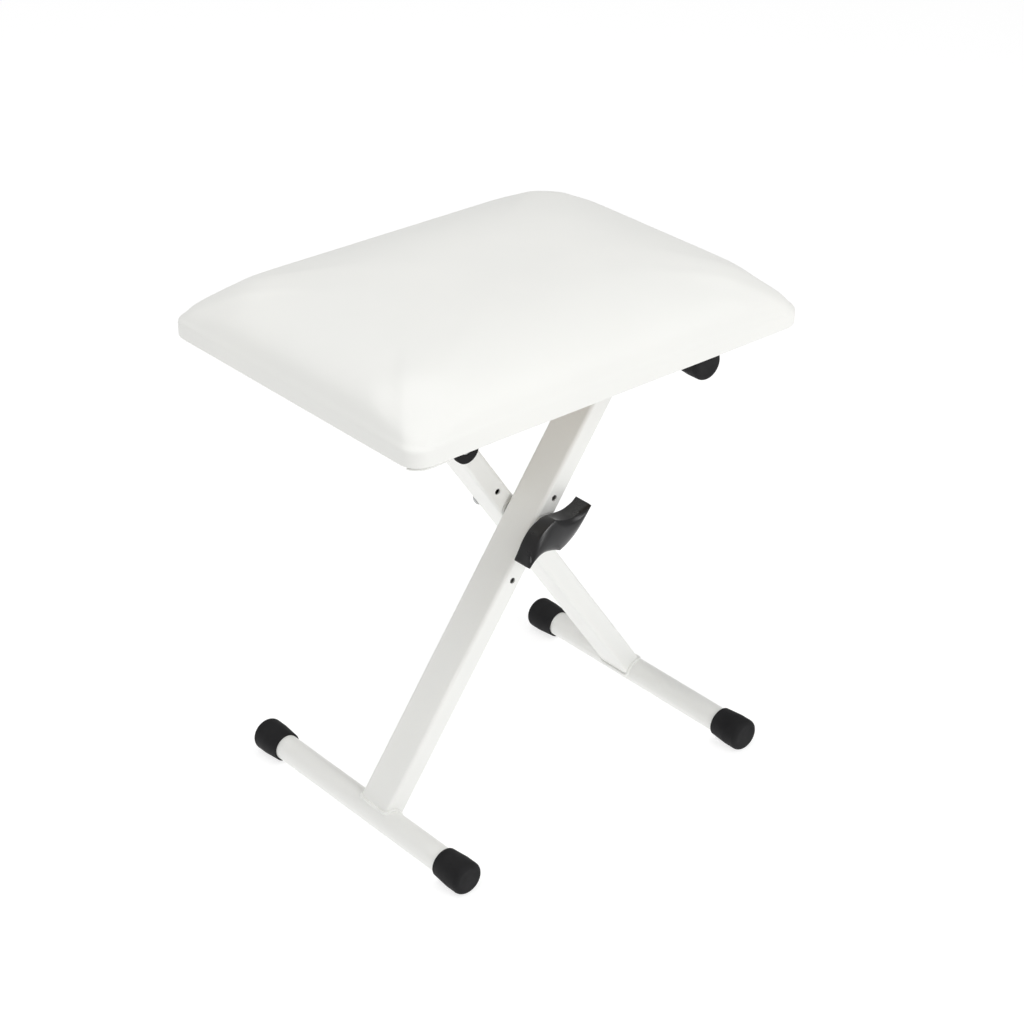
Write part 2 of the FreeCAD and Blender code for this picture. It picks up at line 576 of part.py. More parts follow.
def knob_outline(body):
    """Four arcs: each wing has a long convex back and a hollow flank, the same turned round."""
    sketch = new_sketch(body, "knob_sketch", "XZ_Plane")
    tip = Vector(size("knob_tip_x"), size("knob_tip_z"))
    belly = Vector(-size("knob_belly_x"), size("knob_belly_z"))
    corners = [tip, belly, tip * -1, belly * -1]
    radii = ["knob_hollow_radius", "knob_back_radius"] * 2
    ends = [(2, 1), (1, 2)] * 2  # a hollow arc is stored from its far end
    for index, corner in enumerate(corners):
        following = corners[(index + 1) % 4]
        radius = size(radii[index])
        bulge = radius - math.sqrt(radius ** 2 - (following - corner).Length ** 2 / 4)
        middle = (corner + following) / 2
        outward = Vector(following.y - corner.y, corner.x - following.x).normalize()
        if radii[index] == "knob_hollow_radius":
            outward = outward * -1
        sketch.addGeometry(Part.Arc(corner, middle + outward * bulge, following), False)
    for index in range(4):
        after = (index + 1) % 4
        sketch.addConstraint(Sketcher.Constraint("Coincident", index, ends[index][1],
                                                 after, ends[after][0]))
    pin_point(sketch, 0, ends[0][0], "Sizes.knob_tip_x", "Sizes.knob_tip_z", tip.x, tip.y)
    pin_point(sketch, 1, ends[1][0], "-Sizes.knob_belly_x", "Sizes.knob_belly_z",
              belly.x, belly.y)
    for near, far in ((0, 2), (1, 3)):
        sketch.addConstraint(Sketcher.Constraint("Symmetric", near, ends[near][0],
                                                 far, ends[far][0], -1, 1))
    for index, alias in enumerate(radii[:2]):
        for twin in (index, index + 2):
            fixed = sketch.addConstraint(Sketcher.Constraint("Radius", twin, size(alias)))
            sketch.setExpression("Constraints[%d]" % fixed, "Sizes." + alias)
    return sketch


knob_body = doc.addObject("PartDesign::Body", "knob_body")
knob_wings = knob_body.newObject("PartDesign::Pad", "knob_wings")
knob_wings.Profile = knob_outline(knob_body)
knob_wings.setExpression("Length", "Sizes.knob_depth")
put(knob_body, "Places.pivot_x", "-Places.knob_y - Sizes.knob_hub_height", "Places.pivot_z")
# The face of the knob is crowned across its wings, along the line from tip to tip.
crown = doc.addObject("Part::Cylinder", "knob_crown")
crown_turn = math.degrees(math.atan2(size("knob_tip_x"), size("knob_tip_z")))
crown.Placement = Placement(Vector(), Rotation(Vector(0, 1, 0), crown_turn))
bind(crown, {"Radius": "Sizes.knob_crown_radius", "Height": "8 * Sizes.knob_tip_x",
             "Placement.Rotation.Angle": "atan(Sizes.knob_tip_x / Sizes.knob_tip_z)"})
put(crown, "Places.pivot_x - 4 * Sizes.knob_tip_x * sin(atan(Sizes.knob_tip_x / Sizes.knob_tip_z))",
    "Sizes.knob_crown_radius - Places.knob_y - Sizes.knob_hub_height - Sizes.knob_depth",
    "Places.pivot_z - 4 * Sizes.knob_tip_x * cos(atan(Sizes.knob_tip_x / Sizes.knob_tip_z))")
crowned = common("knob_crowned", knob_body, crown)
hub = cylinder("knob_boss", "Sizes.knob_hub", "Sizes.knob_hub_height + Sizes.knob_depth / 2",
               "Places.pivot_x", "-Places.knob_y - Sizes.knob_hub_height - Sizes.knob_depth / 2",
               "Places.pivot_z")
insert_room = cylinder("insert_room", "Sizes.insert_radius", "Sizes.insert_length + %g" % EXTRA,
                       "Places.pivot_x", "-Places.knob_y - Sizes.insert_length", "Places.pivot_z")
tip_room = cylinder("bolt_tip_room", "Sizes.pivot_radius + Sizes.face_clearance",
                    "Places.bolt_tip_y - Places.knob_y + Sizes.face_clearance",
                    "Places.pivot_x", "-Places.bolt_tip_y - Sizes.face_clearance",
                    "Places.pivot_z")
keep(cut("knob_solid", fuse("knob_blank", crowned, hub), insert_room, tip_room), "knob")
ring("knob_insert", "Sizes.insert_radius", PIVOT_BORE, "Sizes.insert_length",
     "-Places.knob_y - Sizes.insert_length")

doc.recompute()
for obj in doc.Objects:
    if "Invalid" in obj.State or "Error" in obj.State:
        raise RuntimeError("%s could not be rebuilt: %s" % (obj.Label, obj.State))
for obj in SUBPARTS:
    if obj.Shape.isNull() or not obj.Shape.isValid():
        raise RuntimeError("%s has no sound shape" % obj.Label)

os.makedirs("parts", exist_ok=True)
for obj in SUBPARTS:
    obj.Shape.exportStep("parts/%s.step" % obj.Label)

# The linkage's limits, from the sizes: the seat's height fixes the leg angle, and folded flat
# leg A's lower part lies against the stop.
fold = math.degrees(math.asin((size("leg_width") / 2 + size("stop_radius")
                               + size("face_clearance")) / size("stop_distance"))) / 2
thickness = size("band_height") + size("shoulder_rise")
print("sub-parts:", len(SUBPARTS))
print("seat underside %.1f mm, top of the crown %.1f mm" % (places.seat_z,
                                                            places.seat_z + thickness))
print("folded flat at a leg angle of %.2f degrees" % fold)
for height in (size("lowest_seat_height"), size("highest_seat_height")):
    rise = height - thickness - (places.seat_z - places.top_z) - places.foot_z
    angle = math.degrees(math.asin(rise / places.leg_length))
    print("seat at %d mm: leg angle %.2f degrees" % (height, angle))
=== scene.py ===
"""Looks of the folding keyboard bench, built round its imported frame. All lengths are in metres."""
import json
import math
import random

import bmesh
import bpy
import numpy as np
from mathutils import Matrix, Vector
from mathutils.kdtree import KDTree


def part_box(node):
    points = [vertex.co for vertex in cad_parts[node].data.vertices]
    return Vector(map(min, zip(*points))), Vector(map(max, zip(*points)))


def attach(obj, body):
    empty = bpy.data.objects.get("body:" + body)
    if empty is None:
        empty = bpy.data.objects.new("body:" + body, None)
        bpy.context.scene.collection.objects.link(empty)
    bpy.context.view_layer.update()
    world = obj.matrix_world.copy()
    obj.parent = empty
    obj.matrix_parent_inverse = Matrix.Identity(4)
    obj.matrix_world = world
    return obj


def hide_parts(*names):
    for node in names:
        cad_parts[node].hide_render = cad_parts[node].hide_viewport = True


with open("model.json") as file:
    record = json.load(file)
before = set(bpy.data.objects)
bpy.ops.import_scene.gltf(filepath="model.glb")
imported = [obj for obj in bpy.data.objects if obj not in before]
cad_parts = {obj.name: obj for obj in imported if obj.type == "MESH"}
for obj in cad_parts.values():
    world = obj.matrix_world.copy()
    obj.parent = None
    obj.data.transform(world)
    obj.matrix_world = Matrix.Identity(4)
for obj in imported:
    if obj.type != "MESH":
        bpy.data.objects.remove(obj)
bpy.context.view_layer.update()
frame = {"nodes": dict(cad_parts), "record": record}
nodes = frame["nodes"]
MM = 0.001

# Camera, fitted to the seat's outline and the four feet of the photograph
CAMERA_AZIMUTH, CAMERA_ELEVATION, CAMERA_ROLL = math.radians(-41.98), math.radians(29.21), math.radians(1.32)
CAMERA_TARGET = Vector((0.02778, 0.0, 0.23595))
CAMERA_DISTANCE = 2.05667
FOCAL_PIXELS, FRAME_PIXELS, SENSOR = 2478.24, 1024, 36.0


def add_camera():
    back = Vector((math.sin(CAMERA_AZIMUTH) * math.cos(CAMERA_ELEVATION),
                   -math.cos(CAMERA_AZIMUTH) * math.cos(CAMERA_ELEVATION), math.sin(CAMERA_ELEVATION)))
    level_right = Vector((0, 0, 1)).cross(back).normalized()
    level_up = back.cross(level_right)
    right = level_right * math.cos(CAMERA_ROLL) + level_up * math.sin(CAMERA_ROLL)
    up = back.cross(right)
    camera = bpy.data.objects.new("camera", bpy.data.cameras.new("camera"))
    camera.data.sensor_width = SENSOR
    camera.data.lens = FOCAL_PIXELS / FRAME_PIXELS * SENSOR
    camera.data.clip_end = 50
    spot = CAMERA_TARGET + back * CAMERA_DISTANCE
    camera.matrix_world = Matrix((
        (right.x, up.x, back.x, spot.x), (right.y, up.y, back.y, spot.y),
        (right.z, up.z, back.z, spot.z), (0, 0, 0, 1)))
    bpy.context.scene.collection.objects.link(camera)
    bpy.context.scene.camera = camera


def add_light(name, spot, target, size, watts, spread=180):
    data = bpy.data.lights.new(name, "AREA")
    data.shape, data.size, data.energy, data.spread = "SQUARE", size, watts, math.radians(spread)
    light = bpy.data.objects.new(name, data)
    light.location = spot
    light.rotation_euler = (Vector(target) - Vector(spot)).to_track_quat("-Z", "Y").to_euler()
    bpy.context.scene.collection.objects.link(light)


def add_stage():
    """A white floor, a white world and soft studio lights."""
    world = bpy.data.worlds.new("studio")
    bpy.context.scene.world = world
    world.use_nodes = True
    background = world.node_tree.nodes["Background"]
    background.inputs["Color"].default_value = (1, 1, 1, 1)
    background.inputs["Strength"].default_value = 0.42
    mesh = bpy.data.meshes.new("floor")
    half = 12.0
    mesh.from_pydata([(-half, -half, 0), (half, -half, 0), (half, half, 0), (-half, half, 0)], [],
                     [(0, 1, 2, 3)])
    floor = bpy.data.objects.new("floor", mesh)
    bpy.context.scene.collection.objects.link(floor)
    material, shader, _ = new_material("floor", (0.36, 0.36, 0.36), 0.8)
    shader.inputs["Emission Color"].default_value = (1, 1, 1, 1)
    shader.inputs["Emission Strength"].default_value = 0.77
    mesh.materials.append(material)
    add_light("key", (0.5, -2.1, 1.9), (0, 0, 0.3), 1.2, 12)
    add_light("glint", (0.35, -2.4, 1.0), (0, 0, 0.25), 0.45, 8)
    add_light("overhead", (-0.6, 0.0, 2.5), (-0.1, 0.0, 0.0), 2.4, 31)
    add_light("low fill", (-1.3, -0.2, 0.5), (0, 0, 0.14), 0.1, 0.025, 22)
    bpy.context.scene.view_settings.view_transform = "Standard"


# Materials


def new_material(name, color, roughness, metallic=0.0):
    material = bpy.data.materials.new(name)
    material.use_nodes = True
    shader = material.node_tree.nodes["Principled BSDF"]
    shader.inputs["Base Color"].default_value = (*color, 1)
    shader.inputs["Roughness"].default_value = roughness
    shader.inputs["Metallic"].default_value = metallic
    return material, shader, material.node_tree


def node(tree, kind, **inputs):
    """A shader node with the given input values, or the sockets that feed them."""
    made = tree.nodes.new("ShaderNode" + kind)
    for name, value in inputs.items():
        socket = made.inputs[name.replace("_", " ")]
        if isinstance(value, bpy.types.NodeSocket):
            tree.links.new(value, socket)
        else:
            socket.default_value = value
    return made


def place(tree):
    """The point on the object, in metres, in its own frame."""
    return node(tree, "TexCoord").outputs["Object"]


def noise(tree, scale, detail=3.0, roughness=0.5, stretch=(1, 1, 1)):
    where = node(tree, "Mapping", Vector=place(tree), Scale=stretch).outputs["Vector"]
    return node(tree, "TexNoise", Vector=where, Scale=scale, Detail=detail,
                Roughness=roughness).outputs["Fac"]


def spread(tree, value, low, high, from_low=0.3, from_high=0.7):
    """Map a texture's usual range to the range from low to high."""
    mapped = node(tree, "MapRange", Value=value)
    for index, number in enumerate((from_low, from_high, low, high), start=1):
        mapped.inputs[index].default_value = number
    return mapped.outputs["Result"]


def blend_colors(tree, factor, first, second):
    mixed = tree.nodes.new("ShaderNodeMix")
    mixed.data_type = "RGBA"
    tree.links.new(factor, mixed.inputs[0])
    for socket, value in ((mixed.inputs[6], first), (mixed.inputs[7], second)):
        if isinstance(value, bpy.types.NodeSocket):
            tree.links.new(value, socket)
        else:
            socket.default_value = (*value, 1)
    return mixed.outputs[2]


def bump(tree, shader, height, strength, distance, under=None):
    made = node(tree, "Bump", Height=height, Strength=strength, Distance=distance)
    if under is not None:
        tree.links.new(under, made.inputs["Normal"])
    tree.links.new(made.outputs["Normal"], shader.inputs["Normal"])
    return made.outputs["Normal"]


def white_vinyl():
    """Imitation leather: a fine pebbled grain, faint clouding and a soft gloss."""
    material, shader, tree = new_material("white_vinyl", (0.86, 0.86, 0.83), 0.45)
    cells = tree.nodes.new("ShaderNodeTexVoronoi")
    cells.feature = "DISTANCE_TO_EDGE"
    warp = node(tree, "TexNoise", Vector=place(tree), Scale=900.0, Detail=2.0)
    shift = node(tree, "VectorMath")
    shift.operation = "MULTIPLY_ADD"
    tree.links.new(warp.outputs["Color"], shift.inputs[0])
    shift.inputs[1].default_value = (0.0006, 0.0006, 0.0006)
    tree.links.new(place(tree), shift.inputs[2])
    tree.links.new(shift.outputs["Vector"], cells.inputs["Vector"])
    cells.inputs["Scale"].default_value = 850.0
    grain = spread(tree, cells.outputs["Distance"], 0.0, 1.0, 0.0, 0.35)
    pores = noise(tree, 2600.0, 2.0)
    deep = bump(tree, shader, grain, 0.10, 0.00012)
    bump(tree, shader, pores, 0.05, 0.00005, deep)
    cloud = noise(tree, 9.0, 4.0)
    tree.links.new(blend_colors(tree, spread(tree, cloud, 0.0, 1.0), (0.87, 0.87, 0.84),
                                (0.85, 0.852, 0.825)), shader.inputs["Base Color"])
    tree.links.new(spread(tree, noise(tree, 24.0), 0.40, 0.50), shader.inputs["Roughness"])
    return material


def powder_coat():
    """White powder coat: orange peel, faint clouding and a trace of dust."""
    material, shader, tree = new_material("powder_coat", (0.84, 0.84, 0.83), 0.38)
    shader.inputs["Coat Weight"].default_value = 0.15
    shader.inputs["Coat Roughness"].default_value = 0.25
    peel = noise(tree, 700.0, 2.0)
    bump(tree, shader, peel, 0.12, 0.00008)
    tree.links.new(blend_colors(tree, spread(tree, noise(tree, 14.0, 5.0), 0.0, 1.0),
                                (0.90, 0.903, 0.875), (0.875, 0.879, 0.855)), shader.inputs["Base Color"])
    tree.links.new(spread(tree, noise(tree, 40.0), 0.32, 0.44), shader.inputs["Roughness"])
    return material


def black_rubber():
    material, shader, tree = new_material("black_rubber", (0.012, 0.012, 0.013), 0.72)
    shader.inputs["Specular IOR Level"].default_value = 0.22
    grit = noise(tree, 2200.0, 3.0)
    bump(tree, shader, grit, 0.25, 0.00012)
    tree.links.new(blend_colors(tree, spread(tree, noise(tree, 60.0, 5.0), 0.0, 1.0),
                                (0.008, 0.008, 0.009), (0.015, 0.015, 0.016)), shader.inputs["Base Color"])
    tree.links.new(spread(tree, noise(tree, 120.0), 0.62, 0.8), shader.inputs["Roughness"])
    return material


def knob_plastic():
    material, shader, tree = new_material("knob_plastic", (0.006, 0.006, 0.007), 0.28)
    bump(tree, shader, noise(tree, 1500.0, 2.0), 0.05, 0.00006)
    tree.links.new(spread(tree, noise(tree, 50.0, 4.0), 0.24, 0.34), shader.inputs["Roughness"])
    tree.links.new(blend_colors(tree, spread(tree, noise(tree, 30.0), 0.0, 1.0),
                                (0.006, 0.006, 0.007), (0.011, 0.011, 0.012)), shader.inputs["Base Color"])
    return material


def nylon(name, color):
    material, shader, tree = new_material(name, color, 0.5)
    bump(tree, shader, noise(tree, 1300.0, 2.0), 0.12, 0.0001)
    tree.links.new(spread(tree, noise(tree, 70.0), 0.42, 0.58), shader.inputs["Roughness"])
    return material


def zinc_plate():
    """Bright zinc plate: fine rolled scratches, and clouds of a colder and a warmer grey."""
    material, shader, tree = new_material("zinc_plate", (0.6, 0.61, 0.62), 0.32, 1.0)
    tree.links.new(blend_colors(tree, spread(tree, noise(tree, 90.0, 4.0), 0.0, 1.0),
                                (0.66, 0.67, 0.69), (0.54, 0.545, 0.54)), shader.inputs["Base Color"])
    tree.links.new(spread(tree, noise(tree, 200.0, 5.0), 0.24, 0.42), shader.inputs["Roughness"])
    scratches = noise(tree, 500.0, 3.0, 0.6, (1, 12, 12))
    bump(tree, shader, scratches, 0.12, 0.00006)
    return material


def plywood():
    """Birch plywood seen from below: long grain along X, with darker bands and pores."""
    material, shader, tree = new_material("plywood", (0.6, 0.45, 0.3), 0.65)
    where = node(tree, "Mapping", Vector=place(tree), Scale=(0.6, 7.0, 7.0)).outputs["Vector"]
    warp = node(tree, "TexNoise", Vector=where, Scale=6.0, Detail=6.0, Roughness=0.6)
    bands = node(tree, "TexWave", Vector=where, Scale=9.0, Distortion=7.0, Detail=4.0)
    bands.inputs["Detail Scale"].default_value = 1.4
    bands.bands_direction = "Y"
    fine = noise(tree, 260.0, 4.0, 0.6, (0.12, 1, 1))
    wide = blend_colors(tree, bands.outputs["Fac"], (0.50, 0.44, 0.36), (0.58, 0.52, 0.44))
    toned = blend_colors(tree, spread(tree, warp.outputs["Fac"], 0.0, 0.6), wide, (0.44, 0.38, 0.31))
    dark = blend_colors(tree, spread(tree, fine, 0.0, 0.5), toned, (0.32, 0.27, 0.21))
    tree.links.new(dark, shader.inputs["Base Color"])
    bump(tree, shader, fine, 0.25, 0.0002)
    return material


# Meshes


def new_object(name, mesh, body, material, smooth=True):
    made = bpy.data.objects.new(name, mesh)
    bpy.context.scene.collection.objects.link(made)
    mesh.materials.append(material)
    if smooth:
        mesh.shade_smooth()
    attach(made, body)
    return made


def apply_modifiers(made):
    """Swap the object's mesh for the one its modifiers make."""
    graph = bpy.context.evaluated_depsgraph_get()
    mesh = bpy.data.meshes.new_from_object(made.evaluated_get(graph))
    made.modifiers.clear()
    made.data = mesh


def soften(name, width, segments=2):
    """Round off the edges of a part that came with sharp ones."""
    joined = nodes[name].modifiers.new("joined", "WELD")
    joined.merge_threshold = 0.005 * MM
    flat = nodes[name].modifiers.new("flat", "DECIMATE")
    flat.decimate_type, flat.angle_limit = "DISSOLVE", math.radians(1)
    edge = nodes[name].modifiers.new("edge", "BEVEL")
    edge.width, edge.segments = width, segments
    edge.limit_method, edge.angle_limit = "ANGLE", math.radians(40)


def middle(name):
    low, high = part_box(name)
    return (low + high) / 2


def smooth_step(value):
    value = min(max(value, 0.0), 1.0)
    return value * value * (3 - 2 * value)


# The seat. Its crown is a superellipse from the top of the band to the flat middle: FULLNESS makes
# it stouter than an ellipse, and LEAN tilts its foot, so that an edge shows above the band.

SEAT_LOW, SEAT_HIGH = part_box("seat_cover")
SEAT_MIDDLE = (SEAT_LOW + SEAT_HIGH) / 2
HALF_X, HALF_Y = (SEAT_HIGH.x - SEAT_LOW.x) / 2, (SEAT_HIGH.y - SEAT_LOW.y) / 2
CORNER = 16 * MM
BAND_TOP = 14 * MM
CROWN = SEAT_HIGH.z - SEAT_LOW.z - BAND_TOP
SHOULDER_RUN = HALF_Y - 38 * MM
FULLNESS = 0.8
LEAN = 0.25
PLATEAU_CORNER = 36 * MM
HEM = 24 * MM
ROLL = 2.5 * MM
VINYL = 0.8 * MM
CELL = 6 * MM
HEM_STEPS = 6
SWELL = 3 * MM
CLOTH_CELL, CLOTH_PRESSURE, CLOTH_FRAMES = 5 * MM, 4.0, 20
CORNER_DRAW, CORNER_REACH = 0.5, 74 * MM
PLEAT_DEPTH, EDGE_WANDER = 1.5 * MM, 1.1 * MM


def outline(half_x, half_y, corner, along_x, along_y, around):
    """Points round a rounded rectangle, from its +X side, with their outward directions."""
    points = []
    for quarter, (sx, sy) in enumerate(((1, 1), (-1, 1), (-1, -1), (1, -1))):
        centre = Vector((sx * (half_x - corner), sy * (half_y - corner)))
        for step in range(around):
            angle = math.pi / 2 * (quarter + step / around)
            out = Vector((math.cos(angle), math.sin(angle)))
            points.append((centre + corner * out, out))
        angle = math.pi / 2 * (quarter + 1)
        out = Vector((math.cos(angle), math.sin(angle)))
        nx, ny = ((-1, 1), (-1, -1), (1, -1), (1, 1))[quarter]
        start = centre + corner * out
        end = Vector((nx * (half_x - corner), ny * (half_y - corner))) + corner * out
        steps = along_x if quarter % 2 == 0 else along_y
        points += [(start.lerp(end, step / steps), out) for step in range(steps)]
    return points


def seat_ring(inset, height, corner):
    """One closed row of the seat's surface, drawn in from its outline, at one height."""
    half_x, half_y = HALF_X - inset, HALF_Y - inset
    corner = min(corner, 0.98 * half_x, 0.98 * half_y)
    rows = outline(half_x, half_y, corner, int(2 * HALF_X / CELL), int(2 * HALF_Y / CELL), 8)
    return [Vector((at.x + SEAT_MIDDLE.x, at.y + SEAT_MIDDLE.y, height + SEAT_LOW.z)) for at, _ in rows]


def seat_rings(crown):
    """(inset, height, corner) from the hem's cut edge, round the roll, up the band and over the crown."""
    rings = [(HEM, VINYL, CORNER)]
    rings += [(HEM - HEM * step / HEM_STEPS, 0.0, CORNER) for step in range(HEM_STEPS)]
    for step in range(5):
        angle = math.pi / 2 * step / 4
        rings.append((ROLL * (1 - math.sin(angle)), ROLL * (1 - math.cos(angle)), CORNER))
    rings += [(0.0, ROLL + (BAND_TOP - ROLL) * share, CORNER) for share in (0.33, 0.66, 1.0)]
    steps = 34
    for step in range(1, steps + 1):
        angle = math.pi / 2 * step / steps
        upward = math.sin(angle) ** FULLNESS
        inward = 1 - math.cos(angle) ** FULLNESS + LEAN * upward * (1 - upward) ** 3
        rings.append((SHOULDER_RUN * inward, BAND_TOP + crown * upward,
                      CORNER + (PLATEAU_CORNER - CORNER) * inward))
    left = HALF_Y - SHOULDER_RUN
    for share in (0.2, 0.4, 0.6, 0.8, 1.0):
        rings.append((SHOULDER_RUN + left * share, BAND_TOP + crown, PLATEAU_CORNER))
    return rings


def seat_form(crown, closed):
    """The seat's surface as rows of quads, with its underside closed where that is asked for."""
    work = bmesh.new()
    rows = [[work.verts.new(point) for point in seat_ring(*ring)] for ring in seat_rings(crown)]
    if closed:
        rows = rows[1:]
        work.faces.new(reversed(rows[0]))
    for lower, upper in zip(rows, rows[1:]):
        for index in range(len(lower)):
            after = (index + 1) % len(lower)
            work.faces.new((lower[index], lower[after], upper[after], upper[index]))
    bmesh.ops.remove_doubles(work, verts=rows[-1], dist=1e-6)
    bmesh.ops.recalc_face_normals(work, faces=work.faces)
    mesh = bpy.data.meshes.new("seat_form")
    work.to_mesh(mesh)
    work.free()
    return mesh


def swelling():
    """Where points of the vinyl start, and how far the foam's pressure moves each of them."""
    made = bpy.data.objects.new("swelling", seat_form(CROWN - SWELL, True))
    bpy.context.scene.collection.objects.link(made)
    grid = made.modifiers.new("grid", "REMESH")
    grid.mode, grid.voxel_size = "VOXEL", CLOTH_CELL
    apply_modifiers(made)
    start = [point.co.copy() for point in made.data.vertices]
    held = made.vertex_groups.new(name="held")
    band = [index for index, point in enumerate(start) if point.z < SEAT_LOW.z + 0.7 * BAND_TOP]
    held.add(band, 1.0, "REPLACE")
    cloth = made.modifiers.new("cloth", "CLOTH")
    cloth.settings.quality = 6
    cloth.settings.mass = 0.35
    cloth.settings.use_pressure = True
    cloth.settings.uniform_pressure_force = CLOTH_PRESSURE
    cloth.settings.vertex_group_mass = "held"
    cloth.settings.effector_weights.gravity = 0
    cloth.point_cache.frame_start, cloth.point_cache.frame_end = 1, CLOTH_FRAMES
    for moment in range(1, CLOTH_FRAMES + 1):
        bpy.context.scene.frame_set(moment)
    apply_modifiers(made)
    moves = [point.co - first for point, first in zip(made.data.vertices, start)]
    bpy.context.scene.frame_set(1)
    bpy.data.objects.remove(made)
    return start, moves


def build_cushion(material):
    """The padded vinyl seat: swollen by a cloth simulation, with its hem turned under the board."""
    cushion = new_object("seat_cushion", seat_form(CROWN - SWELL, False), "seat", material)
    start, moves = swelling()
    furthest = max(move.length for move in moves)
    tree = KDTree(len(start))
    for index, point in enumerate(start):
        tree.insert(point, index)
    tree.balance()
    for point in cushion.data.vertices:
        move, total = Vector(), 0.0
        for _, index, distance in tree.find_n(point.co, 8):
            share = 1 / (distance + MM) ** 2
            move += moves[index] * share
            total += share
        reach = smooth_step((point.co.z - SEAT_LOW.z - BAND_TOP) / (0.75 * CROWN))
        point.co += move / total * (SWELL / furthest) * reach
    draw_corners_down(cushion.data)
    shape_hem(cushion.data)
    cushion.modifiers.new("fine", "SUBSURF").render_levels = 1
    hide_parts("seat_cover", "seat_foam")


def draw_corners_down(mesh):
    """Lower the crown towards the corners, where the vinyl is pulled tightest."""
    for point in mesh.vertices:
        rise = point.co.z - SEAT_LOW.z - BAND_TOP
        if rise > 0:
            gap = math.hypot(HALF_X - abs(point.co.x - SEAT_MIDDLE.x),
                             HALF_Y - abs(point.co.y - SEAT_MIDDLE.y))
            point.co.z -= CORNER_DRAW * rise * smooth_step(1 - gap / CORNER_REACH)


def shape_hem(mesh):
    """Gather the hem into pleats at the corners, and let its cut edge wander a little."""
    for point in mesh.vertices:
        if point.co.z > SEAT_LOW.z + VINYL + MM / 10:
            continue
        x, y = point.co.x - SEAT_MIDDLE.x, point.co.y - SEAT_MIDDLE.y
        inset = min(HALF_X - abs(x), HALF_Y - abs(y))
        deep = smooth_step((inset - 2 * ROLL) / (HEM - 2 * ROLL))
        round_corner = math.atan2(HALF_Y - abs(y), HALF_X - abs(x))
        near = max(0.0, 1 - (HALF_X - abs(x) + HALF_Y - abs(y)) / (3.4 * HEM))
        pleat = max(0.0, math.sin(round_corner * 14)) ** 1.5
        point.co.z -= PLEAT_DEPTH * pleat * near * deep
        wander = EDGE_WANDER * math.sin(x * 71 + y * 53) * math.sin(x * 23 - y * 97 + 1)
        pull = wander * smooth_step((inset - 0.8 * HEM) / (0.2 * HEM))
        if HALF_X - abs(x) < HALF_Y - abs(y):
            point.co.x += math.copysign(pull, x)
        else:
            point.co.y += math.copysign(pull, y)


def prism(work, points, direction, drop):
    """A closed strip whose outline is given, thickened by a drop along a direction."""
    low = [work.verts.new(point + direction * drop) for point in points]
    high = [work.verts.new(point) for point in points]
    work.faces.new(low)
    work.faces.new(reversed(high))
    for index in range(len(points)):
        after = (index + 1) % len(points)
        work.faces.new((low[index], high[index], high[after], low[after]))


def finish_mesh(work, name):
    bmesh.ops.recalc_face_normals(work, faces=work.faces)
    mesh = bpy.data.meshes.new(name)
    work.to_mesh(mesh)
    work.free()
    return mesh


def build_hem_fold(material):
    """The doubled fold of vinyl that shows as a lip under the front left corner."""
    inset, lap, thickness, length = 1.2 * MM, 0.2 * MM, 1.6 * MM, 19 * MM
    rows = outline(HALF_X - inset, HALF_Y - inset, CORNER - inset, 40, 30, 10)
    corner = [Vector((at.x + SEAT_MIDDLE.x, at.y + SEAT_MIDDLE.y, SEAT_LOW.z + lap))
              for at, _ in rows if at.x < -HALF_X + CORNER + length and at.y < -HALF_Y + 0.8 * CORNER]
    inner_end = Vector((SEAT_MIDDLE.x - HALF_X + CORNER + length - 4 * MM, SEAT_MIDDLE.y - HALF_Y + CORNER,
                        SEAT_LOW.z + lap))
    work = bmesh.new()
    prism(work, corner + [inner_end], Vector((0, 0, -1)), thickness)
    fold = new_object("hem_fold", finish_mesh(work, "hem_fold"), "seat", material, smooth=False)
    edge = fold.modifiers.new("edge", "BEVEL")
    edge.width, edge.segments = 0.7 * MM, 3


def build_staples(material):
    """Wire staples that hold the hem to the board, a little out of line as a gun leaves them."""
    random.seed(4)
    length, wire, thickness = 9 * MM, 0.9 * MM, 0.5 * MM
    work = bmesh.new()
    inset = 0.55 * HEM
    rows = outline(HALF_X - inset, HALF_Y - inset, CORNER, 11, 8, 2)
    for at, out in rows:
        turn = Matrix.Rotation(math.atan2(out.y, out.x) + math.pi / 2 + random.uniform(-0.14, 0.14), 4, "Z")
        shift = out * random.uniform(-1.5, 1.5) * MM
        spot = Vector((at.x + shift.x + SEAT_MIDDLE.x, at.y + shift.y + SEAT_MIDDLE.y, SEAT_LOW.z - 0.3 * MM))
        crown = bmesh.ops.create_cube(work, size=1.0)
        size = Matrix.Diagonal((length, wire, thickness, 1))
        bmesh.ops.transform(work, verts=crown["verts"], matrix=Matrix.Translation(spot) @ turn @ size)
        for end in (-1, 1):
            leg = bmesh.ops.create_cube(work, size=1.0)
            size = (Matrix.Translation((end * 4.2 * MM, 0, 0.6 * MM))
                    @ Matrix.Diagonal((0.6 * MM, wire, 1.6 * MM, 1)))
            bmesh.ops.transform(work, verts=leg["verts"], matrix=Matrix.Translation(spot) @ turn @ size)
    new_object("staples", finish_mesh(work, "staples"), "seat", material, smooth=False)


# (radius, drop) down the pan head's side
HEAD_PROFILE = ((4.2, 0.0), (4.2, 1.0), (3.95, 1.5), (3.3, 1.9), (2.2, 2.12), (0.8, 2.2))
HEAD_RADIUS, HEAD_HEIGHT = HEAD_PROFILE[0][0] * MM, HEAD_PROFILE[-1][1] * MM
HEAD_STEPS = 32
SHANK_RADIUS = 2 * MM


